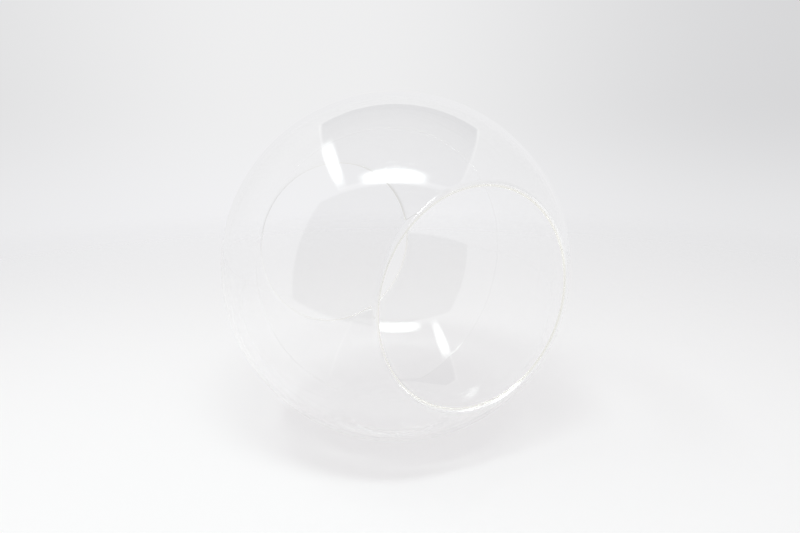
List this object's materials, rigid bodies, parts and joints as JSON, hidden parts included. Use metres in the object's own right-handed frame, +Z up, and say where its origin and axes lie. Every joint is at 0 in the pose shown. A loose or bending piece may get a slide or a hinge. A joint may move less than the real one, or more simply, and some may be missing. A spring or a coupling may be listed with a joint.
{
  "type": "glass globe terrarium",
  "caption": "Clear blown-glass globe terrarium, empty: a thin hollow sphere with opposite round mouths, fire-polished lips and a thick flat base.",
  "frame": {"origin": "on the surface that the globe stands on, under its middle", "axes": "+Z up; the front mouth faces -Y and the rear mouth faces +Y"},
  "size_m": [0.2, 0.1644, 0.194],
  "materials": {
    "clear_glass": "clear, smooth blown soda-lime glass with a faint yellow-green tint where it is thick"
  },
  "bodies": {
    "root": {"globe_shell": "clear_glass", "flattened_base": "clear_glass", "front_lip": "clear_glass", "rear_lip": "clear_glass"}
  },
  "joints": []
}
